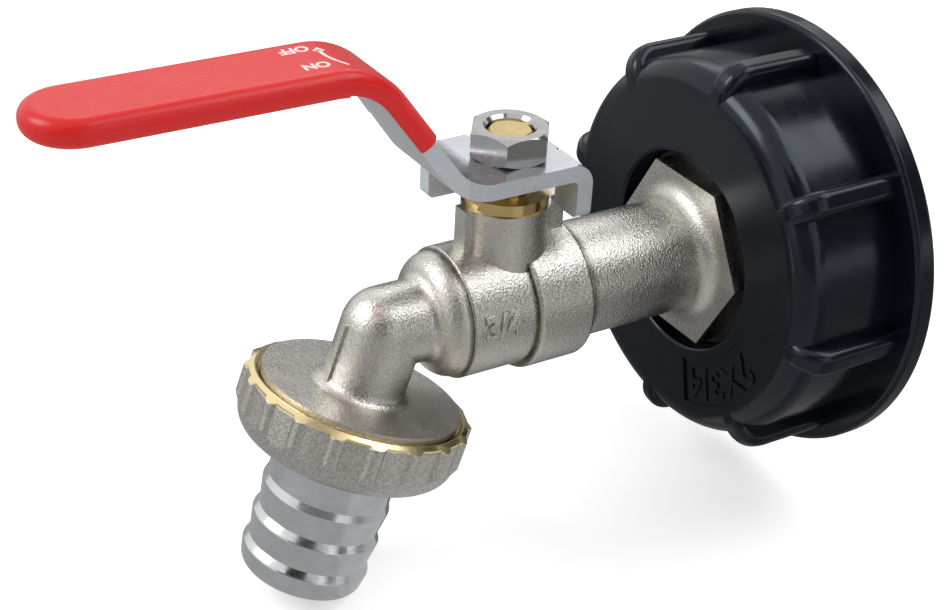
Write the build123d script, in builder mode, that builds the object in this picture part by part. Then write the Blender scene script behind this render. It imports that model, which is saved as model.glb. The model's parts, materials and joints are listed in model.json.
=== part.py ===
from build123d import *

import os
from math import atan2, cos, radians, sin, tan

# Tank tap: a screw cap for a tank outlet, a ball tap with a lever, and a hose union.
# Millimetres. The origin is the centre of the cap's mouth, +Y points into the tank
# and +Z runs up the valve stem. A depth is a distance from the mouth towards -Y,
# and a drop is a distance from the top of the spout rim along the outlet.

# Fits
RUN_GAP = 0.15
FREE_GAP = 0.3

# Tank cap
FLANGE_R = 42.4
FLANGE_T = 4.2
FLANGE_FILLET = 1.0
BARREL_R = 36.5
CAP_DEPTH = 24.8
CAP_FRONT_WALL = 4.3
CAP_FILLET = 4.8
CAP_THREAD_R = 30.3
CAP_THREAD_LENGTH = 14.5
CAP_RELIEF = 0.5
HUB_R = 22.0
HUB_LENGTH = 5.0
RECESS_R = 19.1
RECESS_DEPTH = 5.5
RECESS_FILLET = 0.8
RIB_COUNT = 8
RIB_TURN = 8.4
RIB_R = 39.8
RIB_WIDTH = 5.0
RIB_ROUND = 6.0
RIB_FILLET = 1.8
PANEL_INNER_R = 21.6
PANEL_OUTER_R = 30.4
PANEL_START = -77.0
PANEL_SWEEP = 49.0
PANEL_DEPTH = 0.5
GASKET_T = 3.0
GASKET_R = 30.3

# Inlet connector
INLET_THREAD_R = 13.2
INLET_THREAD_LENGTH = 5.8
INLET_WASHER_T = 1.5
HEX_FLATS = 31.0
HEX_PROUD = 0.7
TUBE_R = 10.7
TUBE_FILLET = 3.4
INLET_BORE_R = 7.0

# Tap body
SEAM_DEPTH = 52.8
STEM_SETBACK = 12.0
COLLAR_R = 13.2
COLLAR_LIP = 0.9
COLLAR_LENGTH = 11.5
CENTRE_R = 12.0
CENTRE_LENGTH = 12.7
DOME_R = 11.4
DOME_LENGTH = 4.6
DOME_FILLET = 4.4
STEP_FILLET = 0.5
CAVITY_R = 10.0
ELBOW_SETBACK = 23.9
ELBOW_R = 7.5
ELBOW_FILLET = 2.0
FIN_HEIGHT = 0.5
FIN_WIDTH = 1.0
WATER_R = 5.4
BOSS_R = 7.9
BOSS_TOP = 19.8
LUG_WIDTH = 5.0
LUG_REACH = 2.8
FRONT_LUG_WIDTH = 3.4
FRONT_LUG_REACH = 1.3

# Spout
OUTLET_TILT = 18.9
SPOUT_LEG = 11.7
SPOUT_RIM_R = 18.2
SPOUT_RIM_T = 1.4
SPOUT_THREAD_R = 16.6
SPOUT_LENGTH = 6.0
SPOUT_BORE_R = 7.4
SPOUT_FLOOR = 3.2

# Ball, seats and stem
BALL_R = 9.0
PORT_R = 5.6
SEAT_INNER_R = 6.2
SEAT_NEAR = 5.4
SEAT_FAR = 8.8
SLOT_WIDTH = 4.0
SLOT_FLOOR = 6.5
STEM_R = 4.1
STEM_FOOT = 9.2
STEM_COLLAR_R = 5.3
STEM_COLLAR_T = 1.4
CHAMBER_R = 5.5
CHAMBER_FLOOR = 12.4
THRUST_WASHER_T = 0.6
PACKING_T = 2.6
GLAND_HEAD_R = 7.5
GLAND_HEAD_T = 2.2
STEM_FLATS = 6.4
STEM_THREAD_R = 4.0
STEM_TOP_BELOW = 0.7
STEM_CHAMFER = 0.5

# Lever
LEVER_T = 3.0
PLATE_TOP = 28.6
PLATE_HALF = 9.6
PLATE_BACK = 9.0
NECK_FOOT = 13.7
NECK_TOP = 30.5
GRIP_Z = 50.3
GRIP_HALF = 7.2
GRIP_END = 84.3
LOWER_BEND_R = 11.0
UPPER_BEND_R = 12.0
TAB_GAP = 0.4
TAB_END = 10.8
TAB_BOTTOM = 18.3
TAB_RELIEF = 0.8
PLATE_CORNER_R = 2.0
TAB_BEND_R = 2.6
TAB_CORNER_R = 1.2
SLEEVE_WALL = 0.9
SLEEVE_START = 0.46
SLEEVE_ROUND = 2.2
SLEEVE_OPEN_TO = 35.0
LEVER_NUT_FLATS = 13.0
LEVER_NUT_T = 5.2
LEVER_NUT_TURN = 24.3
LEVER_NUT_CROWN = 0.7
LEVER_NUT_BEVEL = 0.6

# Union nut
NUT_TOP_DROP = 0.9
NUT_HEIGHT = 11.3
NUT_R = 20.1
NUT_FLOOR_T = 2.2
NUT_ROUND = 4.2
NUT_RIB_COUNT = 18
NUT_RIB_R = 20.9
NUT_RIB_ROUND = 1.7
NUT_RIB_FOOT = 3.8
NUT_RIB_FADE = 2.0
NUT_RIM_BEVEL = 0.5
NUT_RIM_SLOPE = 1.1
NUT_RIM_FLAT_R = 19.3

# Hose tail
HOSE_WASHER_T = 1.8
TAIL_FLANGE_R = 15.7
TAIL_BORE_R = 7.4
TAIL_NECK_R = 11.3
BARB_COUNT = 3
BARB_PITCH = 6.3
BARB_FIRST_DROP = 21.0
BARB_CREST_R = 11.8
BARB_ROOT_R = 11.0
BARB_SHOULDER = 1.5
TAIL_END_DROP = 38.0
TAIL_TIP_R = 2.4

# Places that follow from the sizes
cap_inside = CAP_DEPTH - CAP_FRONT_WALL
rib_root_r = (CAP_THREAD_R + BARREL_R) / 2 - RIB_FILLET
recess_floor = CAP_DEPTH - RECESS_DEPTH
inlet_hole_r = INLET_THREAD_R + RUN_GAP
hex_front = CAP_DEPTH + HEX_PROUD
hex_back = recess_floor + INLET_WASHER_T
stem_depth = SEAM_DEPTH + STEM_SETBACK
elbow_depth = stem_depth + ELBOW_SETBACK
cavity_end = stem_depth + SEAT_FAR
connector_end = stem_depth - SEAT_FAR
collar_end = SEAM_DEPTH + COLLAR_LENGTH
centre_end = collar_end + CENTRE_LENGTH
dome_end = centre_end + DOME_LENGTH
tilt = radians(OUTLET_TILT)
outlet = Vector(0, -sin(tilt), -cos(tilt))
elbow = Vector(0, -elbow_depth, 0)
rim_centre = elbow + outlet * SPOUT_LEG
outlet_axis = Axis(rim_centre, outlet)
across_outlet = Vector(0, cos(tilt), -sin(tilt))
stem_foot_point = Vector(0, -stem_depth, 0)
stem_axis = Axis(stem_foot_point, (0, 0, 1))
stem_plane = Plane(stem_foot_point)
stem_profile = Plane(stem_foot_point, x_dir=(1, 0, 0), z_dir=(0, -1, 0))
plate_bottom = PLATE_TOP - LEVER_T
tab_inner = BOSS_R + TAB_GAP
packing_floor = CHAMBER_FLOOR + THRUST_WASHER_T + STEM_COLLAR_T
gland_foot = packing_floor + PACKING_T
nut_floor_drop = NUT_TOP_DROP + NUT_HEIGHT - NUT_FLOOR_T
tail_flange_top = SPOUT_LENGTH + HOSE_WASHER_T


def across(depth):
    """Plane square to the pipe at a depth; extrusions run away from the tank."""
    return Plane.XZ.offset(depth)


def outlet_plane(drop):
    """Plane square to the outlet at a drop; extrusions run down the outlet."""
    return Plane(rim_centre + outlet * drop, x_dir=(1, 0, 0), z_dir=outlet)


def outlet_profile(turn=0):
    """Plane through the outlet axis, turned about it: x is a radius and y is a drop."""
    side = Vector(1, 0, 0) * cos(radians(turn)) + across_outlet * sin(radians(turn))
    return Plane(rim_centre, x_dir=side, z_dir=side.cross(outlet))


def at_radius(radius):
    """Selector for circles of one radius."""
    return lambda edge: edge.geom_type == GeomType.CIRCLE and abs(edge.radius - radius) < 1e-4


# Grip rib of the cap: runs off the flange, rounds over the front edge and dies in the face
with BuildPart() as cap_rib:
    with BuildSketch(Plane.YZ):
        with BuildLine():
            Polyline(
                (-CAP_DEPTH, RIB_R - RIB_ROUND),
                (-CAP_DEPTH, rib_root_r),
                (-FLANGE_T / 2, rib_root_r),
                (-FLANGE_T / 2, RIB_R),
                (RIB_ROUND - CAP_DEPTH, RIB_R),
            )
            CenterArc((RIB_ROUND - CAP_DEPTH, RIB_R - RIB_ROUND), RIB_ROUND, 90, 90)
        make_face()
    extrude(amount=RIB_WIDTH / 2, both=True)
    side_edges = cap_rib.edges().filter_by(Axis.X, reverse=True)
    crest_edges = side_edges.filter_by(lambda edge: edge.center().Z > rib_root_r)
    fillet(crest_edges.filter_by(lambda edge: edge.center().Y < -FLANGE_T / 2 - RIB_FILLET), RIB_FILLET)


os.makedirs("parts", exist_ok=True)

# Tank cap: ribbed screw cap with a rear flange, a threaded hub and a sunk panel in its face
with BuildPart() as tank_cap:
    with BuildSketch(Plane.YZ):
        with BuildLine():
            Polyline(
                (0, CAP_THREAD_R),
                (0, FLANGE_R),
                (-FLANGE_T, FLANGE_R),
                (-FLANGE_T, BARREL_R),
                (-CAP_DEPTH, BARREL_R),
                (-CAP_DEPTH, RECESS_R),
                (-recess_floor, RECESS_R),
                (-recess_floor, inlet_hole_r),
                (HUB_LENGTH - cap_inside, inlet_hole_r),
                (HUB_LENGTH - cap_inside, HUB_R),
                (-cap_inside, HUB_R),
                (-cap_inside, CAP_THREAD_R + CAP_RELIEF),
                (-CAP_THREAD_LENGTH, CAP_THREAD_R + CAP_RELIEF),
                (-CAP_THREAD_LENGTH, CAP_THREAD_R),
                close=True,
            )
        make_face()
    revolve(axis=Axis.Y)
    front_edges = tank_cap.faces().sort_by(Axis.Y)[0].edges().sort_by(SortBy.RADIUS)
    fillet(front_edges[-1], CAP_FILLET)
    fillet(tank_cap.edges().filter_by(at_radius(RECESS_R)).sort_by(Axis.Y)[0], RECESS_FILLET)
    fillet(tank_cap.edges().filter_by(at_radius(FLANGE_R)), FLANGE_FILLET)
    with BuildSketch(across(CAP_DEPTH - PANEL_DEPTH)):
        with BuildLine():
            inner_arc = CenterArc((0, 0), PANEL_INNER_R, PANEL_START, PANEL_SWEEP)
            outer_arc = CenterArc((0, 0), PANEL_OUTER_R, PANEL_START, PANEL_SWEEP)
            Line(inner_arc @ 0, outer_arc @ 0)
            Line(inner_arc @ 1, outer_arc @ 1)
        make_face()
    extrude(amount=PANEL_DEPTH, mode=Mode.SUBTRACT)
    for index in range(RIB_COUNT):
        add(cap_rib.part.rotate(Axis.Y, RIB_TURN + index * 360 / RIB_COUNT))

tank_cap.part.label = "tank_cap"
export_step(tank_cap.part, "parts/tank_cap.step")


# Tank gasket: flat seal against the front wall inside the cap
with BuildPart() as tank_gasket:
    with BuildSketch(across(cap_inside - GASKET_T)):
        Circle(GASKET_R)
        Circle(HUB_R + RUN_GAP, mode=Mode.SUBTRACT)
    extrude(amount=GASKET_T)

tank_gasket.part.label = "tank_gasket"
export_step(tank_gasket.part, "parts/tank_gasket.step")


# Inlet washer: seal under the connector's hexagon
with BuildPart() as inlet_washer:
    with BuildSketch(across(recess_floor)):
        Circle(RECESS_R - FREE_GAP)
        Circle(inlet_hole_r, mode=Mode.SUBTRACT)
    extrude(amount=INLET_WASHER_T)

inlet_washer.part.label = "inlet_washer"
export_step(inlet_washer.part, "parts/inlet_washer.step")


# Inlet connector: male thread for the cap, hexagon, tube, and a thread into the body
with BuildPart() as inlet_connector:
    with BuildSketch(across(hex_back)):
        RegularPolygon(HEX_FLATS / 2, side_count=6, major_radius=False)
    extrude(amount=hex_front - hex_back)
    with BuildSketch(across(hex_back - INLET_THREAD_LENGTH)):
        Circle(INLET_THREAD_R)
    extrude(amount=INLET_THREAD_LENGTH)
    with BuildSketch(across(hex_front)):
        Circle(TUBE_R)
    extrude(amount=SEAM_DEPTH - hex_front)
    fillet(inlet_connector.edges().filter_by(at_radius(TUBE_R)).sort_by(Axis.Y)[-1], TUBE_FILLET)
    with BuildSketch(across(SEAM_DEPTH)):
        Circle(CAVITY_R - RUN_GAP)
    extrude(amount=connector_end - SEAM_DEPTH)
    with BuildSketch(across(hex_back - INLET_THREAD_LENGTH)):
        Circle(INLET_BORE_R)
    extrude(amount=connector_end - hex_back + INLET_THREAD_LENGTH, mode=Mode.SUBTRACT)

inlet_connector.part.label = "inlet_connector"
export_step(inlet_connector.part, "parts/inlet_connector.step")


# Tap body: collar, valve chamber and dome on the pipe, boss for the stem, elbow and spout
with BuildPart() as tap_body:
    with BuildSketch(Plane.YZ):
        with BuildLine():
            Polyline(
                (-SEAM_DEPTH, 0),
                (-SEAM_DEPTH, COLLAR_R),
                (-collar_end, COLLAR_R),
                (-collar_end, CENTRE_R),
                (-centre_end, CENTRE_R),
                (-centre_end, DOME_R),
                (-dome_end, DOME_R),
                (-dome_end, 0),
                close=True,
            )
        make_face()
    revolve(axis=Axis.Y)
    fillet(tap_body.edges().filter_by(at_radius(DOME_R)).sort_by(Axis.Y)[0], DOME_FILLET)
    fillet(tap_body.edges().filter_by(at_radius(CENTRE_R)).sort_by(Axis.Y)[0], STEP_FILLET)
    fillet(tap_body.edges().filter_by(at_radius(COLLAR_R)), COLLAR_LIP)
    with BuildSketch(stem_plane):
        Circle(BOSS_R)
    extrude(amount=BOSS_TOP)
    with BuildSketch(across(dome_end - DOME_FILLET)):
        Circle(ELBOW_R)
    extrude(amount=elbow_depth - dome_end + DOME_FILLET)
    fillet(tap_body.edges().filter_by(at_radius(ELBOW_R)).sort_by(Axis.Y)[-1], ELBOW_FILLET)
    with Locations(elbow):
        Sphere(ELBOW_R)
    with BuildSketch(outlet_plane(-SPOUT_LEG)):
        Circle(ELBOW_R)
    extrude(amount=SPOUT_LEG)
    with BuildSketch(outlet_plane(0)):
        Circle(SPOUT_RIM_R)
    extrude(amount=SPOUT_RIM_T)
    with BuildSketch(outlet_plane(SPOUT_RIM_T)):
        Circle(SPOUT_THREAD_R)
    extrude(amount=SPOUT_LENGTH - SPOUT_RIM_T)
    with BuildSketch(stem_plane):
        Rectangle(LUG_WIDTH, BOSS_R + LUG_REACH, align=(Align.CENTER, Align.MIN))
        Rectangle(FRONT_LUG_WIDTH, BOSS_R + FRONT_LUG_REACH, align=(Align.CENTER, Align.MAX))
    extrude(amount=BOSS_TOP)
    leg_edges = tap_body.edges().filter_by(at_radius(ELBOW_R)).sort_by(outlet_axis)
    fillet(leg_edges[-1], ELBOW_FILLET)
    with BuildSketch(outlet_profile(-90)):
        with Locations((0, -SPOUT_LEG)):
            Rectangle(ELBOW_R + FIN_HEIGHT, SPOUT_LEG, align=(Align.MIN, Align.MIN))
    extrude(amount=FIN_WIDTH / 2, both=True)
    with BuildSketch(across(SEAM_DEPTH)):
        Circle(CAVITY_R)
    extrude(amount=cavity_end - SEAM_DEPTH, mode=Mode.SUBTRACT)
    with BuildSketch(across(stem_depth)):
        Circle(WATER_R)
    extrude(amount=elbow_depth - stem_depth, mode=Mode.SUBTRACT)
    with Locations(elbow):
        Sphere(WATER_R, mode=Mode.SUBTRACT)
    with BuildSketch(outlet_plane(-SPOUT_LEG)):
        Circle(WATER_R)
    extrude(amount=SPOUT_LEG + SPOUT_LENGTH, mode=Mode.SUBTRACT)
    with BuildSketch(outlet_plane(SPOUT_FLOOR)):
        Circle(SPOUT_BORE_R)
    extrude(amount=SPOUT_LENGTH - SPOUT_FLOOR, mode=Mode.SUBTRACT)
    with BuildSketch(stem_plane):
        Circle(STEM_R + RUN_GAP)
    extrude(amount=BOSS_TOP, mode=Mode.SUBTRACT)
    with BuildSketch(stem_plane.offset(CHAMBER_FLOOR)):
        Circle(CHAMBER_R)
    extrude(amount=BOSS_TOP - CHAMBER_FLOOR, mode=Mode.SUBTRACT)

tap_body.part.label = "tap_body"
export_step(tap_body.part, "parts/tap_body.step")


# Ball: bored along the pipe when open, slotted across its top for the stem
with BuildPart() as ball:
    with Locations(stem_foot_point):
        Sphere(BALL_R)
    with BuildSketch(across(stem_depth - BALL_R)):
        Circle(PORT_R)
    extrude(amount=2 * BALL_R, mode=Mode.SUBTRACT)
    with BuildSketch(stem_plane.offset(SLOT_FLOOR)):
        Rectangle(2 * BALL_R, SLOT_WIDTH)
    extrude(amount=BALL_R, mode=Mode.SUBTRACT)

ball.part.label = "ball"
export_step(ball.part, "parts/ball.step")


# Seats: two rings that hold the ball, hollowed to its sphere
with BuildPart() as inlet_seat:
    with BuildSketch(across(connector_end)):
        Circle(CAVITY_R - RUN_GAP)
        Circle(SEAT_INNER_R, mode=Mode.SUBTRACT)
    extrude(amount=SEAT_FAR - SEAT_NEAR)
    with Locations(stem_foot_point):
        Sphere(BALL_R + RUN_GAP, mode=Mode.SUBTRACT)

inlet_seat.part.label = "inlet_seat"
export_step(inlet_seat.part, "parts/inlet_seat.step")

with BuildPart() as outlet_seat:
    with BuildSketch(across(stem_depth + SEAT_NEAR)):
        Circle(CAVITY_R - RUN_GAP)
        Circle(SEAT_INNER_R, mode=Mode.SUBTRACT)
    extrude(amount=SEAT_FAR - SEAT_NEAR)
    with Locations(stem_foot_point):
        Sphere(BALL_R + RUN_GAP, mode=Mode.SUBTRACT)

outlet_seat.part.label = "outlet_seat"
export_step(outlet_seat.part, "parts/outlet_seat.step")


# Stem: tang in the ball's slot, collar under the packing, flats for the lever, thread on top
stem_top = PLATE_TOP + LEVER_NUT_T - STEM_TOP_BELOW
with BuildPart() as stem:
    with BuildSketch(stem_plane.offset(STEM_FOOT)):
        Circle(STEM_R)
    extrude(amount=plate_bottom - STEM_FOOT)
    with BuildSketch(stem_plane.offset(SLOT_FLOOR + RUN_GAP)):
        Circle(STEM_R)
        Rectangle(2 * STEM_R, SLOT_WIDTH - 2 * RUN_GAP, mode=Mode.INTERSECT)
    extrude(amount=STEM_FOOT - SLOT_FLOOR - RUN_GAP)
    with BuildSketch(stem_plane.offset(CHAMBER_FLOOR + THRUST_WASHER_T)):
        Circle(STEM_COLLAR_R)
    extrude(amount=STEM_COLLAR_T)
    with BuildSketch(stem_plane.offset(plate_bottom)):
        Circle(STEM_THREAD_R)
        Rectangle(2 * STEM_THREAD_R, STEM_FLATS, mode=Mode.INTERSECT)
    extrude(amount=LEVER_T)
    with BuildSketch(stem_plane.offset(PLATE_TOP)):
        Circle(STEM_THREAD_R)
    extrude(amount=stem_top - PLATE_TOP)
    chamfer(stem.faces().sort_by(Axis.Z)[-1].edges(), STEM_CHAMFER)

stem.part.label = "stem"
export_step(stem.part, "parts/stem.step")


# Thrust washer, packing and gland nut: what holds and seals the stem in the boss
with BuildPart() as thrust_washer:
    with BuildSketch(stem_plane.offset(CHAMBER_FLOOR)):
        Circle(CHAMBER_R - RUN_GAP)
        Circle(STEM_R + RUN_GAP, mode=Mode.SUBTRACT)
    extrude(amount=THRUST_WASHER_T)

thrust_washer.part.label = "thrust_washer"
export_step(thrust_washer.part, "parts/thrust_washer.step")

with BuildPart() as stem_packing:
    with BuildSketch(stem_plane.offset(packing_floor)):
        Circle(CHAMBER_R - RUN_GAP)
        Circle(STEM_R + RUN_GAP, mode=Mode.SUBTRACT)
    extrude(amount=PACKING_T)

stem_packing.part.label = "stem_packing"
export_step(stem_packing.part, "parts/stem_packing.step")

with BuildPart() as gland_nut:
    with BuildSketch(stem_plane.offset(gland_foot)):
        Circle(CHAMBER_R - RUN_GAP)
    extrude(amount=BOSS_TOP - gland_foot)
    with BuildSketch(stem_plane.offset(BOSS_TOP)):
        Circle(GLAND_HEAD_R)
    extrude(amount=GLAND_HEAD_T)
    with BuildSketch(stem_plane.offset(gland_foot)):
        Circle(STEM_R + RUN_GAP)
    extrude(amount=BOSS_TOP + GLAND_HEAD_T - gland_foot, mode=Mode.SUBTRACT)

gland_nut.part.label = "gland_nut"
export_step(gland_nut.part, "parts/gland_nut.step")


def lever_path(start, end, below=0):
    """Line along the lever in its side view, from one reach to another, below its middle line."""
    mid = PLATE_TOP - LEVER_T / 2
    shift = below * tan(atan2(GRIP_Z - mid, NECK_TOP - NECK_FOOT) / 2)
    return FilletPolyline(
        (start, mid - below),
        (-NECK_FOOT - shift, mid - below),
        (-NECK_TOP - shift, GRIP_Z - below),
        (end, GRIP_Z - below),
        radius=[LOWER_BEND_R + below, UPPER_BEND_R - below],
    )


def grip_outline(margin):
    """Plan of the lever from its plate to the round end of its grip, grown by a margin."""
    half = GRIP_HALF + margin
    root = PLATE_HALF + margin
    straight = GRIP_END - GRIP_HALF
    with BuildSketch(stem_plane) as outline:
        with BuildLine():
            Polyline(
                (half, -straight),
                (half, -NECK_TOP),
                (root, -NECK_FOOT),
                (root, PLATE_BACK),
                (-root, PLATE_BACK),
                (-root, -NECK_FOOT),
                (-half, -NECK_TOP),
                (-half, -straight),
            )
            ThreePointArc((-half, -straight), (0, -straight - half), (half, -straight))
        make_face()
    return outline.sketch


def tab_path():
    """Middle line of a stop tab: out along the plate and bent down past the boss."""
    mid = PLATE_TOP - LEVER_T / 2
    reach = tab_inner + LEVER_T / 2
    return FilletPolyline((0, mid), (reach, mid), (reach, TAB_BOTTOM), radius=TAB_BEND_R)


lever_side = Plane(stem_foot_point, x_dir=(0, 1, 0), z_dir=(1, 0, 0))
tab_side = Plane(stem_foot_point, x_dir=(-1, 0, 0), z_dir=(0, 1, 0))
plate_plan = grip_outline(0)
sleeve_plan = grip_outline(SLEEVE_WALL)

# Lever plate: pressed strip with a cranked neck and two stop tabs bent down beside the boss
tab_start = LUG_WIDTH / 2 + FREE_GAP
with BuildPart() as lever_plate:
    with BuildSketch(lever_side):
        with BuildLine():
            lever_path(PLATE_BACK, -GRIP_END)
        trace(line_width=LEVER_T)
    extrude(amount=PLATE_HALF, both=True)
    extrude(plate_plan, amount=GRIP_Z + LEVER_T, mode=Mode.INTERSECT)
    fillet(lever_plate.edges().filter_by(Axis.Z).group_by(Axis.Y)[-1], PLATE_CORNER_R)
    with BuildSketch(lever_side.offset(tab_start)):
        with BuildLine():
            tab_path()
        trace(line_width=LEVER_T)
    extrude(amount=PLATE_HALF - tab_start)
    with BuildSketch(tab_side.offset(-TAB_END)):
        with BuildLine():
            tab_path()
        trace(line_width=LEVER_T)
    extrude(amount=TAB_END - tab_start)
    tab_feet = lever_plate.faces().group_by(Axis.Z)[0]
    fillet(tab_feet.edges().filter_by(lambda edge: abs(edge.length - LEVER_T) < 1e-4), TAB_CORNER_R)
    with BuildSketch(stem_plane.offset(plate_bottom)):
        with Locations((tab_start, tab_inner)):
            Rectangle(TAB_RELIEF, 2 * LEVER_T, align=(Align.MAX, Align.MIN))
        with Locations((-tab_inner, -tab_start)):
            Rectangle(2 * LEVER_T, TAB_RELIEF, align=(Align.MAX, Align.MIN))
    extrude(amount=LEVER_T, mode=Mode.SUBTRACT)
    with BuildSketch(stem_plane.offset(plate_bottom)):
        Circle(STEM_THREAD_R + RUN_GAP)
        Rectangle(4 * STEM_THREAD_R, STEM_FLATS + 2 * RUN_GAP, mode=Mode.INTERSECT)
    extrude(amount=LEVER_T, mode=Mode.SUBTRACT)

lever_plate.part.label = "lever_plate"
export_step(lever_plate.part, "parts/lever_plate.step")


# Lever sleeve: moulded grip that wraps the handle and leaves the underside of the neck bare
neck_foot = Vector(0, -stem_depth - NECK_FOOT, PLATE_TOP - LEVER_T / 2)
neck_top = Vector(0, -stem_depth - NECK_TOP, GRIP_Z)
neck = neck_top - neck_foot
with BuildPart() as lever_sleeve:
    with BuildSketch(lever_side):
        with BuildLine():
            lever_path(PLATE_BACK, -GRIP_END - SLEEVE_WALL)
        trace(line_width=LEVER_T + 2 * SLEEVE_WALL)
    extrude(amount=PLATE_HALF + SLEEVE_WALL, both=True)
    extrude(sleeve_plan, amount=GRIP_Z + LEVER_T, mode=Mode.INTERSECT)
    split(bisect_by=Plane(neck_foot + neck * SLEEVE_START, z_dir=neck), keep=Keep.TOP)
    cut_face = lever_sleeve.faces().filter_by(lambda face: face.normal_at().dot(neck.normalized()) < -0.999)
    cut_edges = cut_face.edges()
    fillet([edge for edge in lever_sleeve.edges() if edge not in cut_edges], SLEEVE_ROUND)
    add(lever_plate.part, mode=Mode.SUBTRACT)
    with BuildSketch(lever_side):
        with BuildLine():
            lower_line = lever_path(PLATE_BACK, -SLEEVE_OPEN_TO - UPPER_BEND_R, LEVER_T / 2)
            Polyline(lower_line @ 1, (-SLEEVE_OPEN_TO - UPPER_BEND_R, 0), (PLATE_BACK, 0), lower_line @ 0)
        make_face()
        with Locations((-SLEEVE_OPEN_TO, 0)):
            Rectangle(2 * SLEEVE_OPEN_TO, 2 * GRIP_Z, align=(Align.MIN, Align.MIN), mode=Mode.INTERSECT)
    extrude(amount=PLATE_HALF + SLEEVE_WALL, both=True, mode=Mode.SUBTRACT)

lever_sleeve.part.label = "lever_sleeve"
export_step(lever_sleeve.part, "parts/lever_sleeve.step")


# Lever nut: thin hexagon nut with crowned corners
nut_corner_r = LEVER_NUT_FLATS / 2 / cos(radians(30))
nut_top = PLATE_TOP + LEVER_NUT_T
with BuildPart() as lever_nut:
    with BuildSketch(stem_plane.offset(PLATE_TOP)):
        RegularPolygon(LEVER_NUT_FLATS / 2, side_count=6, major_radius=False, rotation=LEVER_NUT_TURN)
    extrude(amount=LEVER_NUT_T)
    with BuildSketch(stem_profile):
        with BuildLine():
            Polyline(
                (0, PLATE_TOP),
                (LEVER_NUT_FLATS / 2, PLATE_TOP),
                (nut_corner_r, PLATE_TOP + LEVER_NUT_CROWN),
                (nut_corner_r, nut_top - LEVER_NUT_CROWN),
                (LEVER_NUT_FLATS / 2, nut_top),
                (0, nut_top),
                close=True,
            )
        make_face()
    revolve(axis=stem_axis, mode=Mode.INTERSECT)
    with BuildSketch(stem_plane.offset(PLATE_TOP)):
        Circle(STEM_THREAD_R + RUN_GAP)
    extrude(amount=LEVER_NUT_T, mode=Mode.SUBTRACT)
    bore_edges = lever_nut.edges().filter_by(at_radius(STEM_THREAD_R + RUN_GAP)).sort_by(Axis.Z)
    chamfer(bore_edges[-1], LEVER_NUT_BEVEL)

lever_nut.part.label = "lever_nut"
export_step(lever_nut.part, "parts/lever_nut.step")


# Union nut: ribbed round nut that runs on the spout thread and carries the hose tail
nut_end_drop = NUT_TOP_DROP + NUT_HEIGHT
nut_mouth_r = SPOUT_RIM_R + FREE_GAP
nut_bore_r = SPOUT_THREAD_R + RUN_GAP
nut_hole_r = BARB_CREST_R + FREE_GAP
rib_end_drop = nut_end_drop - NUT_RIB_FOOT
with BuildPart() as union_nut:
    with BuildSketch(outlet_profile()):
        with BuildLine():
            Polyline(
                (nut_mouth_r, NUT_TOP_DROP),
                (NUT_R, NUT_TOP_DROP),
                (NUT_R, nut_end_drop),
                (nut_hole_r, nut_end_drop),
                (nut_hole_r, nut_floor_drop),
                (nut_bore_r, nut_floor_drop),
                (nut_bore_r, SPOUT_RIM_T + FREE_GAP),
                (nut_mouth_r, SPOUT_RIM_T + FREE_GAP),
                close=True,
            )
        make_face()
    revolve(axis=outlet_axis)
    fillet(union_nut.edges().filter_by(at_radius(NUT_R)).sort_by(outlet_axis)[-1], NUT_ROUND)
    chamfer(union_nut.edges().filter_by(at_radius(nut_mouth_r)).sort_by(outlet_axis)[0], NUT_RIM_BEVEL)
    with BuildSketch(outlet_plane(NUT_TOP_DROP)):
        with PolarLocations(NUT_RIB_R - NUT_RIB_ROUND, NUT_RIB_COUNT):
            Circle(NUT_RIB_ROUND)
        Circle(NUT_R - NUT_RIM_BEVEL, mode=Mode.SUBTRACT)
    extrude(amount=rib_end_drop - NUT_TOP_DROP)
    with BuildSketch(outlet_profile()):
        with BuildLine():
            Polyline(
                (NUT_RIM_FLAT_R, NUT_TOP_DROP),
                (NUT_RIB_R + FREE_GAP, NUT_TOP_DROP),
                (NUT_RIB_R + FREE_GAP, NUT_TOP_DROP + NUT_RIM_SLOPE),
                close=True,
            )
        make_face()
        with BuildLine():
            Polyline(
                (NUT_R, rib_end_drop),
                (NUT_RIB_R + FREE_GAP, rib_end_drop),
                (NUT_RIB_R + FREE_GAP, rib_end_drop - NUT_RIB_FADE),
                close=True,
            )
        make_face()
    revolve(axis=outlet_axis, mode=Mode.SUBTRACT)

union_nut.part.label = "union_nut"
export_step(union_nut.part, "parts/union_nut.step")


# Hose washer: seal between the spout's end and the tail
with BuildPart() as hose_washer:
    with BuildSketch(outlet_plane(SPOUT_LENGTH + RUN_GAP)):
        Circle(TAIL_FLANGE_R)
        Circle(SPOUT_BORE_R, mode=Mode.SUBTRACT)
    extrude(amount=HOSE_WASHER_T - RUN_GAP)

hose_washer.part.label = "hose_washer"
export_step(hose_washer.part, "parts/hose_washer.step")


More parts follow.
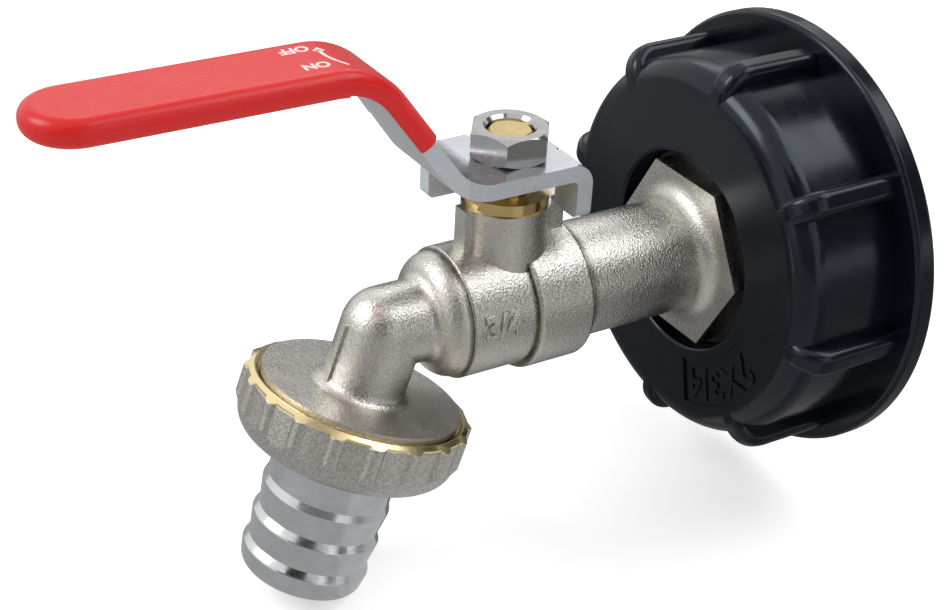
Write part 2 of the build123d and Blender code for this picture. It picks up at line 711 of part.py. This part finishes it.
# Hose tail: flange held by the nut, neck, barbs and a rounded tip
tail_profile = [
    (TAIL_BORE_R, tail_flange_top),
    (TAIL_FLANGE_R, tail_flange_top),
    (TAIL_FLANGE_R, nut_floor_drop - RUN_GAP),
    (TAIL_NECK_R, nut_floor_drop - RUN_GAP),
    (TAIL_NECK_R, BARB_FIRST_DROP - BARB_SHOULDER),
]
for index in range(BARB_COUNT):
    crest = BARB_FIRST_DROP + index * BARB_PITCH
    tail_profile.append((BARB_CREST_R, crest))
    if index < BARB_COUNT - 1:
        tail_profile.append((BARB_ROOT_R, crest + BARB_PITCH - BARB_SHOULDER))
tail_profile += [(BARB_ROOT_R, TAIL_END_DROP), (TAIL_BORE_R, TAIL_END_DROP)]
with BuildPart() as hose_tail:
    with BuildSketch(outlet_profile()):
        with BuildLine():
            Polyline(*tail_profile, close=True)
        make_face()
    revolve(axis=outlet_axis)
    fillet(hose_tail.edges().filter_by(at_radius(BARB_CREST_R)), BARB_SHOULDER / 2)
    tip_edges = hose_tail.faces().sort_by(outlet_axis)[-1].edges().sort_by(SortBy.RADIUS)
    fillet(tip_edges[-1], TAIL_TIP_R)

hose_tail.part.label = "hose_tail"
export_step(hose_tail.part, "parts/hose_tail.step")
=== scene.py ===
import json
from math import cos, pi, radians, sin

import bmesh
import bpy
from mathutils import Matrix, Vector


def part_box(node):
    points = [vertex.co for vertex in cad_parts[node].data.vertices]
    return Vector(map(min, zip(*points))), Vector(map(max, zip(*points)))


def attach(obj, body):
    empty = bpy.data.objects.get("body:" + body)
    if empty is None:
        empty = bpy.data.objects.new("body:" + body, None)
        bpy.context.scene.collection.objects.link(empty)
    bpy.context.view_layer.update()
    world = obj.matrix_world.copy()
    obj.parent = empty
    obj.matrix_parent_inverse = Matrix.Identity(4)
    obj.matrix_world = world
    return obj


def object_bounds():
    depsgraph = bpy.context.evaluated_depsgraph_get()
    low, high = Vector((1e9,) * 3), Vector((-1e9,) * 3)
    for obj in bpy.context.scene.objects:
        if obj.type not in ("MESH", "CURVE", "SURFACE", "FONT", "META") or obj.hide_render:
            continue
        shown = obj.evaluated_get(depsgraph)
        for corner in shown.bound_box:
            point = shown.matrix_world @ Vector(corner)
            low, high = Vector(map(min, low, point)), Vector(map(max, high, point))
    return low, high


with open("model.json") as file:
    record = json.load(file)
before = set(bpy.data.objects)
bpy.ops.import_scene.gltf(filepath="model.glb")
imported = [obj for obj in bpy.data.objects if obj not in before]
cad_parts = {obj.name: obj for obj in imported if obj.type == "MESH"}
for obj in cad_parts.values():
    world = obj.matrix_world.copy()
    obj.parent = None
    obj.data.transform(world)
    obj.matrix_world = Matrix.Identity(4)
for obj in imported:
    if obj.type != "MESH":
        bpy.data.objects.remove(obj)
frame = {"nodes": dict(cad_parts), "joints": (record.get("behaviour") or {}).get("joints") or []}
cad_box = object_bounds()
nodes = frame["nodes"]
joints = {joint["name"]: joint for joint in frame["joints"]}

# Camera of the photograph
AZIMUTH = radians(57.156)
ELEVATION = radians(29.94)
ROLL = radians(3.2)
DISTANCE = 0.380
TARGET = Vector((-0.03350, -0.04895, -0.02308))
IMAGE_WIDTH = 944
FOCAL_PIXELS = 1880.0
SENSOR = 36.0
NEAR_CLIP = 0.01

# Places on the frame
stem = Vector(joints["lever_turn"]["pos_m"])
rim = Vector(joints["union_turn"]["pos_m"])
outlet = Vector(joints["union_turn"]["axis"]).normalized()
grip_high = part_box("lever_sleeve")[1]


def add_camera():
    back = Vector((sin(AZIMUTH) * cos(ELEVATION), -cos(AZIMUTH) * cos(ELEVATION), sin(ELEVATION)))
    level = Vector((cos(AZIMUTH), sin(AZIMUTH), 0))
    above = back.cross(level)
    right = level * cos(ROLL) + above * sin(ROLL)
    up = above * cos(ROLL) - level * sin(ROLL)
    data = bpy.data.cameras.new("camera")
    data.sensor_width = SENSOR
    data.lens = FOCAL_PIXELS / IMAGE_WIDTH * SENSOR
    data.clip_start = NEAR_CLIP
    camera = bpy.data.objects.new("camera", data)
    place = Matrix((right, up, back)).transposed().to_4x4()
    place.translation = TARGET + back * DISTANCE
    camera.matrix_world = place
    bpy.context.scene.collection.objects.link(camera)
    bpy.context.scene.camera = camera


# Small helpers for shader trees
class Tree:
    """A material's node tree, with short calls for the nodes used here."""

    def __init__(self, name):
        self.material = bpy.data.materials.new(name)
        self.material.use_nodes = True
        self.tree = self.material.node_tree
        self.shader = self.tree.nodes["Principled BSDF"]
        coordinates = self.tree.nodes.new("ShaderNodeTexCoord")
        self.place = coordinates.outputs["Object"]
        self.normal = coordinates.outputs["Normal"]

    def set(self, **values):
        for name, value in values.items():
            self.shader.inputs[name.replace("_", " ")].default_value = value

    def link(self, source, target):
        self.tree.links.new(source, target)

    def noise(self, scale, detail=3.0, rough=0.55, stretch=None):
        node = self.tree.nodes.new("ShaderNodeTexNoise")
        node.inputs["Scale"].default_value = scale
        node.inputs["Detail"].default_value = detail
        node.inputs["Roughness"].default_value = rough
        source = self.place
        if stretch:
            mapping = self.tree.nodes.new("ShaderNodeMapping")
            mapping.inputs["Scale"].default_value = stretch
            self.link(self.place, mapping.inputs["Vector"])
            source = mapping.outputs["Vector"]
        self.link(source, node.inputs["Vector"])
        return node.outputs["Fac"]

    def spread(self, source, low, high, start=0.3, stop=0.7):
        node = self.tree.nodes.new("ShaderNodeMapRange")
        node.inputs["From Min"].default_value = start
        node.inputs["From Max"].default_value = stop
        node.inputs["To Min"].default_value = low
        node.inputs["To Max"].default_value = high
        self.link(source, node.inputs["Value"])
        return node.outputs["Result"]

    def mix(self, factor, first, second):
        node = self.tree.nodes.new("ShaderNodeMix")
        node.data_type = "RGBA"
        self.link(factor, node.inputs["Factor"])
        for index, value in ((6, first), (7, second)):
            if isinstance(value, tuple):
                node.inputs[index].default_value = (*value, 1)
            else:
                self.link(value, node.inputs[index])
        return node.outputs[2]

    def math(self, operation, first, second=0.0):
        node = self.tree.nodes.new("ShaderNodeMath")
        node.operation = operation
        for socket, value in zip(node.inputs, (first, second)):
            if isinstance(value, (int, float)):
                socket.default_value = value
            else:
                self.link(value, socket)
        return node.outputs["Value"]

    def along(self, source, direction):
        node = self.tree.nodes.new("ShaderNodeVectorMath")
        node.operation = "DOT_PRODUCT"
        self.link(source, node.inputs[0])
        node.inputs[1].default_value = direction
        return node.outputs["Value"]

    def colour(self, source):
        self.link(source, self.shader.inputs["Base Color"])

    def roughness(self, source):
        self.link(source, self.shader.inputs["Roughness"])

    def bump(self, *layers):
        """Each layer is (height, strength, distance in metres); later layers ride on earlier ones."""
        previous = None
        for height, strength, distance in layers:
            node = self.tree.nodes.new("ShaderNodeBump")
            node.inputs["Strength"].default_value = strength
            node.inputs["Distance"].default_value = distance
            self.link(height, node.inputs["Height"])
            if previous:
                self.link(previous, node.inputs["Normal"])
            previous = node.outputs["Normal"]
        self.link(previous, self.shader.inputs["Normal"])


# Materials
# Painted shade on the body, darkening the corners of the steps round the pipe: each step's place along the
# pipe and how far the painted shade reaches from it
SHADED_CREASES = ((-0.0773, 0.0007), (-0.0645, 0.0006), (-0.0516, 0.0014))
CREASE_CORE = 0.25
CREASE_R = 0.01335
# The union nut is bare brass as far as RIM_DROP below the spout's rim, with a ragged border
RIM_DROP = 0.0019
RIM_RAGGED = 0.0001


def cap_plastic():
    tree = Tree("cap_plastic")
    tree.set(IOR=1.42, Specular_Tint=(0.8, 0.9, 1.0, 1))
    patch = tree.noise(60, 4)
    tree.colour(tree.mix(patch, (0.003, 0.0036, 0.0064), (0.0058, 0.0068, 0.0115)))
    tree.roughness(tree.spread(tree.noise(240, 3), 0.14, 0.24))
    tree.bump((tree.noise(90, 2), 0.06, 0.0006), (tree.noise(900, 2), 0.03, 0.00006))
    return tree.material


def painted_crease_shade(tree):
    """Painted shade in the corners of the steps round the pipe, from 1 in the corner down to 0."""
    depth = tree.along(tree.place, (0, 1, 0))
    squares = [tree.math("POWER", tree.along(tree.place, way), 2) for way in ((1, 0, 0), (0, 0, 1))]
    on_pipe = tree.math("LESS_THAN", tree.math("ADD", *squares), CREASE_R ** 2)
    painted_shade = 0.0
    for corner, reach in SHADED_CREASES:
        off = tree.math("ABSOLUTE", tree.math("SUBTRACT", depth, corner))
        painted_shade = tree.math("MAXIMUM", tree.spread(off, 1.0, 0.0, CREASE_CORE * reach, reach), painted_shade)
    # The painted shade lies only on the pipe and is weakened at random by noise
    shade_strength = tree.math("MULTIPLY", on_pipe, tree.spread(tree.noise(450, 3), 0.55, 0.95))
    return tree.math("MULTIPLY", painted_shade, shade_strength)


def cast_nickel():
    tree = Tree("cast_nickel")
    tree.set(Metallic=1.0)
    grain = tree.noise(2500, 2, 0.6)
    patch = tree.noise(220, 4)
    tint = tree.mix(patch, (0.62, 0.60, 0.555), (0.75, 0.73, 0.685))
    cast = tree.mix(tree.spread(grain, 0.4, 0), tint, (0.34, 0.325, 0.295))
    # The darkest colour is painted shade in the corners of the steps round the pipe
    tree.colour(tree.mix(painted_crease_shade(tree), cast, (0.13, 0.115, 0.09)))
    tree.roughness(tree.spread(patch, 0.2, 0.3))
    tree.bump((tree.noise(500, 3), 0.06, 0.0004), (grain, 0.75, 0.00018))
    return tree.material


def nut_nickel():
    """Satin nickel, with bare brass where the rim was turned after plating."""
    tree = Tree("nut_nickel")
    tree.set(Metallic=1.0)
    patch = tree.noise(260, 4)
    grain = tree.noise(2500, 2, 0.6)
    speck = tree.spread(grain, 0.0, 1.0, 0.34, 0.66)
    plated = tree.mix(speck, (0.41, 0.40, 0.375), (0.66, 0.65, 0.61))
    brass = tree.mix(patch, (0.82, 0.66, 0.34), (0.92, 0.78, 0.47))
    drop = tree.math("SUBTRACT", tree.along(tree.place, outlet), rim.dot(outlet))
    edge = tree.math("ADD", drop, tree.spread(tree.noise(500, 2), -RIM_RAGGED, RIM_RAGGED))
    turned = tree.spread(edge, 1.0, 0.0, RIM_DROP - RIM_RAGGED, RIM_DROP + RIM_RAGGED)
    tree.colour(tree.mix(turned, plated, brass))
    tree.roughness(tree.spread(turned, 0.28, 0.18, 0.0, 1.0))
    cast = tree.math("MULTIPLY", grain, tree.math("SUBTRACT", 1.0, turned))
    tree.bump((cast, 0.6, 0.00018))
    return tree.material


def hose_zinc():
    tree = Tree("hose_zinc")
    tree.set(Metallic=1.0)
    patch = tree.noise(300, 4)
    turned = tree.noise(900, 2, 0.5, stretch=(0.05, 0.05, 1.0))
    tree.colour(tree.mix(patch, (0.52, 0.53, 0.545), (0.74, 0.75, 0.765)))
    tree.roughness(tree.spread(turned, 0.14, 0.26))
    tree.bump((turned, 0.08, 0.0001), (tree.noise(1800, 2), 0.08, 0.00006))
    return tree.material


def zinc_steel():
    """Rolled sheet on the flat faces, torn and paler on the shear-cut edges; the paler colour on the edges and
    on faces turned down is partly the torn finish and partly painted light.
    """
    tree = Tree("zinc_steel")
    tree.set(Metallic=1.0)
    patch = tree.noise(180, 5)
    rolled = tree.noise(700, 3, 0.6, stretch=(1.0, 0.08, 1.0))
    torn = tree.noise(1300, 3, 0.6)
    flat = tree.mix(patch, (0.50, 0.515, 0.545), (0.62, 0.635, 0.665))
    torn_pale_and_painted_light = tree.mix(torn, (0.70, 0.735, 0.79), (0.93, 0.95, 0.98))
    # Painted light: faces turned sideways and faces turned down towards -Y get the paler colour through edge
    aside = tree.math("ABSOLUTE", tree.along(tree.normal, (1, 0, 0)))
    below = tree.along(tree.normal, (0, -0.82, -0.57))
    edge = tree.spread(tree.math("MAXIMUM", aside, below), 0, 1, 0.5, 0.8)
    tree.colour(tree.mix(edge, flat, torn_pale_and_painted_light))
    tree.roughness(tree.math("ADD", tree.spread(rolled, 0.2, 0.32), tree.math("MULTIPLY", edge, 0.3)))
    tree.bump((rolled, 0.06, 0.0001), (tree.math("MULTIPLY", torn, edge), 0.25, 0.00014))
    return tree.material


def polished_plate():
    tree = Tree("polished_plate")
    tree.set(Metallic=1.0)
    patch = tree.noise(400, 4)
    tree.colour(tree.mix(patch, (0.41, 0.405, 0.395), (0.50, 0.495, 0.485)))
    tree.roughness(tree.spread(patch, 0.1, 0.2))
    tree.bump((tree.noise(500, 2), 0.05, 0.0002))
    return tree.material


def turned_brass():
    tree = Tree("turned_brass")
    tree.set(Metallic=1.0)
    patch = tree.noise(350, 4)
    tree.colour(tree.mix(patch, (0.56, 0.41, 0.17), (0.70, 0.54, 0.26)))
    tree.roughness(tree.spread(patch, 0.12, 0.22))
    tree.bump((tree.noise(1300, 2), 0.1, 0.00008))
    return tree.material


def red_vinyl():
    tree = Tree("red_vinyl")
    tree.set(IOR=1.42)
    patch = tree.noise(50, 4)
    tree.colour(tree.mix(patch, (0.70, 0.012, 0.011), (0.77, 0.018, 0.016)))
    tree.roughness(tree.spread(tree.noise(300, 3), 0.24, 0.34))
    tree.bump((tree.noise(120, 2), 0.06, 0.0004))
    return tree.material


def black_rubber():
    tree = Tree("black_rubber")
    patch = tree.noise(200, 4)
    tree.colour(tree.mix(patch, (0.018, 0.018, 0.018), (0.035, 0.034, 0.033)))
    tree.roughness(tree.spread(patch, 0.6, 0.8))
    tree.bump((tree.noise(1200, 3), 0.2, 0.0001))
    return tree.material


def white_seat():
    tree = Tree("white_seat")
    patch = tree.noise(200, 4)
    tree.colour(tree.mix(patch, (0.78, 0.77, 0.74), (0.86, 0.85, 0.83)))
    tree.roughness(tree.spread(patch, 0.4, 0.5))
    tree.bump((tree.noise(900, 3), 0.1, 0.0001))
    return tree.material


def white_print():
    tree = Tree("white_print")
    patch = tree.noise(900, 3)
    tree.colour(tree.mix(patch, (0.80, 0.76, 0.75), (0.90, 0.88, 0.87)))
    tree.roughness(tree.spread(patch, 0.35, 0.5))
    return tree.material


def dress_nodes():
    finishes = {
        cap_plastic: ["tank_cap"],
        black_rubber: ["tank_gasket", "inlet_washer", "hose_washer"],
        cast_nickel: ["inlet_connector", "tap_body"],
        white_seat: ["inlet_seat", "outlet_seat", "thrust_washer", "stem_packing"],
        turned_brass: ["gland_nut", "stem"],
        zinc_steel: ["lever_plate"],
        red_vinyl: ["lever_sleeve"],
        polished_plate: ["lever_nut", "ball"],
        hose_zinc: ["hose_tail"],
        nut_nickel: ["union_nut"],
    }
    for make, names in finishes.items():
        material = make()
        for name in names:
            node = nodes[name]
            node.data.materials.clear()
            node.data.materials.append(material)


def add_piece(name, mesh, material, body):
    piece = bpy.data.objects.new(name, mesh)
    bpy.context.scene.collection.objects.link(piece)
    mesh.materials.clear()
    mesh.materials.append(material)
    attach(piece, body)


# Lettering
SIZE_OVER_CAPITALS = 1.38
CURVE_STEPS = 4
# On the sleeve, whose upper side is flat as far as BEND_START and then bends down
GRIP_TOP = grip_high.z
BEND_START = -0.1014
BEND_R = 0.0144
PRINT_T = 0.00004
PRINT_HEIGHT = 0.0021
PRINT_BOLD = 0.0001
OFF_AT = (-0.0038, -0.1041)
ON_AT = (0.0031, -0.1036)
ARROW_TAIL = Vector((0.0042, -0.0984))
ARROW_TURN = Vector((0.0012, -0.1012))
ARROW_HEAD = Vector((-0.0034, -0.1002))
ARROW_STEPS = 16
ARROW_WIDTH = 0.0006
ARROW_HEAD_WIDTHS = [0.0022, 0.0011, 0.0001]
# Cast on the body
BODY_R = 0.012
MARK_ANGLE = radians(9)
MARK_Y = -0.0714
MARK_HEIGHT = 0.0042
MARK_DEPTH = 0.0011
MARK_BOLD = 0.00014
MARK_BEVEL = 0.00018
# Moulded in the cap's sunk panel
PANEL_R = 0.0261
PANEL_ANGLE = radians(38)
PANEL_FLOOR = -0.0243
PANEL_HEIGHT = 0.0060
PANEL_DEPTH = 0.0006
PANEL_BOLD = 0.0001
PANEL_BEVEL = 0.00012


def letters(words, height, depth, place, bold, bevel=0.0):
    """A mesh of raised letters; place takes a point of the flat text to its point on the object."""
    curve = bpy.data.curves.new(words, "FONT")
    curve.body = words
    curve.size = height * SIZE_OVER_CAPITALS
    curve.extrude = depth / 2
    curve.offset = bold
    curve.bevel_depth = bevel
    curve.resolution_u = CURVE_STEPS
    curve.align_x = "CENTER"
    curve.align_y = "CENTER"
    holder = bpy.data.objects.new(words, curve)
    bpy.context.scene.collection.objects.link(holder)
    bpy.context.view_layer.update()
    mesh = bpy.data.meshes.new_from_object(holder.evaluated_get(bpy.context.evaluated_depsgraph_get()))
    bpy.data.objects.remove(holder)
    bpy.data.curves.remove(curve)
    for vertex in mesh.vertices:
        vertex.co = place(vertex.co)
    return mesh


def grip_top(y):
    """Height of the sleeve's upper side: flat along the grip, then round the upper bend."""
    past = max(0.0, y - BEND_START)
    return GRIP_TOP - BEND_R + (BEND_R ** 2 - past ** 2) ** 0.5


def on_grip(x, y):
    """Text on the sleeve reads from its far side, so its right is -Y and its top is +X."""

    def place(point):
        along = y - point.x
        return Vector((x + point.y, along, grip_top(along) + point.z))

    return place


def on_body(point):
    """Text round the valve chamber: its right is +Y and its top goes up round the pipe."""
    angle = MARK_ANGLE + point.y / BODY_R
    radius = BODY_R + point.z
    return Vector((radius * cos(angle), MARK_Y + point.x, radius * sin(angle)))


def in_panel(point):
    """Text in the cap's sunk panel stands on its head: its top points away from the axis."""
    angle = PANEL_ANGLE - point.x / PANEL_R
    radius = PANEL_R + point.y
    return Vector((radius * sin(angle), PANEL_FLOOR - point.z, -radius * cos(angle)))


def sweep(name, rows, smooth):
    """A closed mesh through rows of points, each row a ring across the path."""
    mesh = bpy.data.meshes.new(name)
    shape = bmesh.new()
    rings = [[shape.verts.new(point) for point in row] for row in rows]
    for first, second in zip(rings, rings[1:]):
        for at in range(len(first)):
            shape.faces.new((first[at - 1], first[at], second[at], second[at - 1])).smooth = smooth
    for ring in (rings[0], rings[-1]):
        shape.faces.new(ring)
    bmesh.ops.recalc_face_normals(shape, faces=shape.faces)
    shape.to_mesh(mesh)
    shape.free()
    return mesh


def ribbon(points, widths):
    """A thin strip on the grip through points (x, y), with a width at each."""
    rows = []
    for index, point in enumerate(points):
        ahead = points[min(index + 1, len(points) - 1)]
        behind = points[max(index - 1, 0)]
        along = (ahead - behind).normalized()
        side = Vector((-along.y, along.x)) * widths[index] / 2
        row = []
        for spot, rise in ((point - side, 1), (point + side, 1), (point + side, -1), (point - side, -1)):
            row.append((spot.x, spot.y, grip_top(spot.y) + rise * PRINT_T / 2))
        rows.append(row)
    return sweep("arrow", rows, False)


def add_lettering():
    paint = white_print()
    for name, words, spot in (("word_off", "OFF", OFF_AT), ("word_on", "ON", ON_AT)):
        print_mesh = letters(words, PRINT_HEIGHT, PRINT_T, on_grip(*spot), PRINT_BOLD)
        add_piece(name, print_mesh, paint, "lever")
    path = []
    for step in range(ARROW_STEPS + 1):
        share = step / ARROW_STEPS
        left = 1 - share
        path.append(ARROW_TAIL * left ** 2 + ARROW_TURN * 2 * share * left + ARROW_HEAD * share ** 2)
    shaft = [ARROW_WIDTH] * (len(path) - len(ARROW_HEAD_WIDTHS))
    add_piece("arrow", ribbon(path, shaft + ARROW_HEAD_WIDTHS), paint, "lever")
    mark = letters("3/4", MARK_HEIGHT, MARK_DEPTH, on_body, MARK_BOLD, MARK_BEVEL)
    add_piece("size_mark", mark, nodes["tap_body"].data.materials[0], "tap")
    mark = letters("2X3/4", PANEL_HEIGHT, PANEL_DEPTH, in_panel, PANEL_BOLD, PANEL_BEVEL)
    add_piece("cap_mark", mark, nodes["tank_cap"].data.materials[0], "tap")


# Threads: each is one right-hand ridge, wound on a cylinder and sunk a little into it
RIDGE_STEPS = 96
RIDGE_FADE = 10
RIDGE_SUNK = 0.0002
# Points across the ridge: how high, as a share of its height, and where along one pitch
RIDGE_PROFILE = [(0, 0.0), (1, 0.2), (1, 0.4), (0, 0.73)]
# Height of the fine ridges, less than the clearance to what screws on
FINE_RIDGE = 0.00012
TANK_RIDGE = -0.0014


def ridge(origin, axis, radius, height, pitch, start, end):
    """A ridge along the axis from start to end; a height below zero stands inwards."""
    side = axis.orthogonal().normalized()
    across = axis.cross(side)
    foot = radius - (RIDGE_SUNK if height > 0 else -RIDGE_SUNK)
    count = int((end - start - RIDGE_PROFILE[-1][1] * pitch) / pitch * RIDGE_STEPS)
    rows = []
    for step in range(count + 1):
        angle = 2 * pi * step / RIDGE_STEPS
        out = side * cos(angle) + across * sin(angle)
        rise = min(1.0, (step + 0.5) / RIDGE_FADE, (count - step + 0.5) / RIDGE_FADE)
        row = []
        for crest, share in RIDGE_PROFILE:
            along = start + pitch * (share + step / RIDGE_STEPS)
            row.append(origin + axis * along + out * (foot + crest * rise * (radius + height - foot)))
        rows.append(row)
    return sweep("ridge", rows, True)


def add_threads():
    pipe = (Vector((0, 0, 0)), Vector((0, -1, 0)))
    spindle = (stem, Vector((0, 0, 1)))
    spout = (rim, outlet)
    for name, node, body, slot, line, radius, height, pitch, start, end in (
        ("tank_thread", "tank_cap", "tap", "cap", pipe, 0.0303, TANK_RIDGE, 0.006, 0.0012, 0.0135),
        ("inlet_thread", "inlet_connector", "tap", "nickel", pipe, 0.0132, FINE_RIDGE, 0.0018, 0.0151, 0.0206),
        ("spout_thread", "tap_body", "tap", "nickel", spout, 0.0166, FINE_RIDGE, 0.0023, 0.0015, 0.0059),
        ("gland_thread", "gland_nut", "tap", "brass", spindle, 0.00535, FINE_RIDGE, 0.001, 0.0171, 0.0197),
        ("stem_thread", "stem", "lever", "brass", spindle, 0.004, FINE_RIDGE, 0.00125, 0.0287, 0.0326),
    ):
        mesh = ridge(*line, radius, height, pitch, start, end)
        add_piece(name, mesh, nodes[node].data.materials[0], body)


# Studio
FILL = 0.45
FLOOR_HALF = 3.0
FLOOR_GAP = 0.0005
FLOOR_GLOW = 0.5
CARD_AIM = (0, -0.06, 0)


def add_world():
    """White to the camera and to mirrors, and dimmer as a light."""
    world = bpy.data.worlds.new("studio")
    bpy.context.scene.world = world
    world.use_nodes = True
    tree = world.node_tree
    paths = tree.nodes.new("ShaderNodeLightPath")
    seen = paths.outputs["Is Camera Ray"]
    for ray in ("Is Glossy Ray", "Is Transmission Ray"):
        either = tree.nodes.new("ShaderNodeMath")
        either.operation = "MAXIMUM"
        tree.links.new(seen, either.inputs[0])
        tree.links.new(paths.outputs[ray], either.inputs[1])
        seen = either.outputs["Value"]
    strength = tree.nodes.new("ShaderNodeMapRange")
    strength.inputs["To Min"].default_value = FILL
    strength.inputs["To Max"].default_value = 1.0
    tree.links.new(seen, strength.inputs["Value"])
    background = tree.nodes["Background"]
    background.inputs["Color"].default_value = (1, 1, 1, 1)
    tree.links.new(strength.outputs["Result"], background.inputs["Strength"])


def square(name, half):
    mesh = bpy.data.meshes.new(name)
    shape = bmesh.new()
    bmesh.ops.create_grid(shape, x_segments=1, y_segments=1, size=half)
    shape.to_mesh(mesh)
    shape.free()
    return mesh


def add_floor():
    mesh = square("floor", FLOOR_HALF)
    floor = bpy.data.objects.new("floor", mesh)
    floor.location.z = cad_box[0][2] - FLOOR_GAP
    bpy.context.scene.collection.objects.link(floor)
    tree = Tree("pale_floor")
    tree.colour(tree.mix(tree.noise(3, 2), (0.9, 0.9, 0.9), (0.93, 0.93, 0.93)))
    tree.set(Roughness=0.9, Emission_Color=(1, 1, 1, 1))
    paths = tree.tree.nodes.new("ShaderNodeLightPath")
    glow = tree.math("MULTIPLY", paths.outputs["Is Camera Ray"], FLOOR_GLOW)
    tree.link(glow, tree.shader.inputs["Emission Strength"])
    mesh.materials.append(tree.material)


def add_lamp(name, place, size, power):
    data = bpy.data.lights.new(name, "AREA")
    data.shape = "RECTANGLE"
    data.size, data.size_y = size
    data.energy = power
    lamp = bpy.data.objects.new(name, data)
    lamp.location = place
    lamp.rotation_euler = (TARGET - Vector(place)).to_track_quat("-Z", "Y").to_euler()
    bpy.context.scene.collection.objects.link(lamp)


def add_lamps():
    add_lamp("key", (-0.28, -0.68, 0.62), (0.42, 0.42), 3.4)
    add_lamp("side", (0.75, 0.15, 0.45), (0.25, 0.5), 0.4)
    add_lamp("top", (0.25, 0.36, 0.73), (0.6, 0.48), 2.6)
    add_lamp("rear", (-0.6, 0.3, 0.6), (0.5, 0.3), 0.6)


def add_card(name, place, aim, size, shade):
    """A card that only reflections see, so that the metal has something darker to mirror."""
    mesh = square(name, 0.5)
    card = bpy.data.objects.new(name, mesh)
    card.location = place
    card.scale = (*size, 1)
    card.rotation_euler = (Vector(aim) - Vector(place)).to_track_quat("Z", "Y").to_euler()
    card.visible_camera = False
    card.visible_diffuse = False
    card.visible_shadow = False
    card.visible_transmission = False
    bpy.context.scene.collection.objects.link(card)
    tree = Tree(name)
    tree.set(Base_Color=(0, 0, 0, 1), Roughness=1.0, Specular_IOR_Level=0.0)
    tree.set(Emission_Color=(1, 1, 1, 1), Emission_Strength=shade)
    mesh.materials.append(tree.material)


def add_cards():
    ground = cad_box[0][2]
    for name, x, y, size, shade in (
        ("front_ground", 0, -0.4, (1.2, 0.6), 0.45),
        ("left_ground", -0.3, 0.2, (0.6, 0.6), 0.18),
        ("right_ground", 0.3, -0.065, (0.6, 0.07), 0.55),
        ("rear_ground", 0.3, 0.235, (0.6, 0.53), 0.25),
    ):
        add_card(name, (x, y, ground), (x, y, 1), size, shade)
    for name, place, size, shade in (
        ("camera_card", (0.54, -0.4, 0.42), (0.45, 0.55), 0.03),
        ("front_card", (0.42, -0.4, 0.14), (0.7, 0.3), 0.22),
        ("back_card", (-0.5, 0.4, 0.12), (0.7, 0.3), 0.3),
        ("far_card", (0.67, 0.75, 0.9), (2.4, 1.8), 0.12),
    ):
        add_card(name, place, CARD_AIM, size, shade)


bpy.context.scene.view_settings.view_transform = "Standard"
add_camera()
dress_nodes()
add_lettering()
add_threads()
add_world()
add_floor()
add_lamps()
add_cards()
